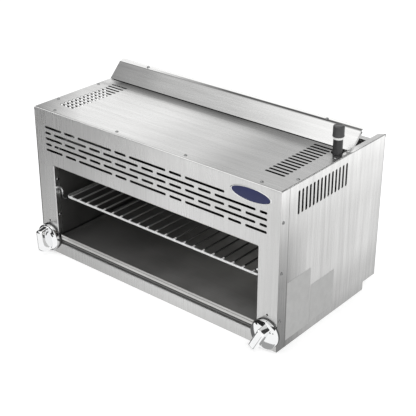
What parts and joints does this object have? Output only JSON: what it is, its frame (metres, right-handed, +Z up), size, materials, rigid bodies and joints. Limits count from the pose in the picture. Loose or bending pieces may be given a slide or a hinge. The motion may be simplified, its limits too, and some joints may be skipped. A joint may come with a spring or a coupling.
{
  "type": "gas cheese melter",
  "caption": "Countertop gas cheese melter: a stainless cabinet with an open front, overhead infrared burners, a sliding wire rack, a sliding crumb tray and bar grip knobs.",
  "frame": {"origin": "on the underside, midway between the side panels and midway between the front face and the rear flanges", "axes": "+X to the right seen from the front, +Y to the rear, +Z up; the front opening faces -Y"},
  "size_m": [0.934, 0.539, 0.5585],
  "materials": {
    "stainless": "brushed stainless sheet with a fine straight grain",
    "plain_steel": "aluminised sheet, dull and slightly mottled",
    "lining": "sheet darkened by heat, dull, nearly black",
    "tray_steel": "dark heat stained sheet, dull, with fine scratches and a bright hem",
    "rack_wire": "chrome plated wire",
    "burner_steel": "aluminised pressed steel",
    "burner_ceramic": "matte perforated ceramic",
    "glow_rod": "heat tinted alloy wire",
    "brass": "turned brass",
    "gas_tube": "drawn aluminium tube",
    "black_iron": "black iron pipe, dull",
    "thread_tape": "white thread seal tape",
    "cap_plastic": "black moulded plastic",
    "knob_chrome": "polished chrome",
    "bezel_chrome": "polished chrome",
    "badge": "dark blue enamel with a bright rim, blank",
    "foil": "blank satin foil",
    "screw_steel": "stainless pan head"
  },
  "bodies": {
    "cabinet": {"front_panel": "stainless", "side_panel_left": "stainless", "side_panel_right": "stainless", "top_panel": "stainless", "flue_deflector": "stainless", "back_panel": "plain_steel", "base_panel": "plain_steel", "heat_shield": "plain_steel", "flue_baffle": "plain_steel", "tray_runner_left": "plain_steel", "tray_runner_right": "plain_steel", "tray_ledge": "plain_steel", "liner_left": "lining", "liner_right": "lining", "liner_back": "lining", "burner_deck": "lining", "rack_guide_left": "rack_wire", "rack_guide_right": "rack_wire", "burner_body_left": "burner_steel", "burner_body_right": "burner_steel", "burner_frame_left": "burner_steel", "burner_frame_right": "burner_steel", "mixer_tube_left": "burner_steel", "mixer_tube_right": "burner_steel", "burner_tiles_left": "burner_ceramic", "burner_tiles_right": "burner_ceramic", "burner_screen_left": "glow_rod", "burner_screen_right": "glow_rod", "orifice_left": "brass", "orifice_right": "brass", "valve_left": "brass", "valve_right": "brass", "pilot_valve_left": "brass", "pilot_valve_right": "brass", "supply_tube_left": "gas_tube", "supply_tube_right": "gas_tube", "pilot_feed_left": "gas_tube", "pilot_feed_right": "gas_tube", "pilot_burner_left": "gas_tube", "pilot_burner_right": "gas_tube", "manifold": "black_iron", "elbow_front": "black_iron", "feed_pipe": "black_iron", "elbow_rear": "black_iron", "inlet_pipe": "black_iron", "seal_ring": "thread_tape", "thread_cap": "cap_plastic", "bezel_left": "bezel_chrome", "bezel_right": "bezel_chrome", "badge_plate": "badge", "data_plates": "foil", "panel_screws": "screw_steel", "liner_screws": "screw_steel"},
    "rack": {"wire_rack": "rack_wire"},
    "tray": {"crumb_tray": "tray_steel"},
    "left_control": {"knob_left": "knob_chrome", "valve_stem_left": "brass"},
    "right_control": {"knob_right": "knob_chrome", "valve_stem_right": "brass"}
  },
  "joints": [
    {"name": "rack_slide", "type": "slide", "parent": "cabinet", "child": "rack", "axis": [0, -1, 0], "range_m": [0, 0.2]},
    {"name": "tray_slide", "type": "slide", "parent": "cabinet", "child": "tray", "axis": [0, -1, 0], "range_m": [0, 0.3]},
    {"name": "left_knob_turn", "type": "hinge", "parent": "cabinet", "child": "left_control", "pos_m": [-0.423, -0.244, 0.05], "axis": [0, -1, 0], "range_deg": [0, 180]},
    {"name": "right_knob_turn", "type": "hinge", "parent": "cabinet", "child": "right_control", "pos_m": [0.423, -0.244, 0.05], "axis": [0, -1, 0], "range_deg": [-147, 33]}
  ]
}
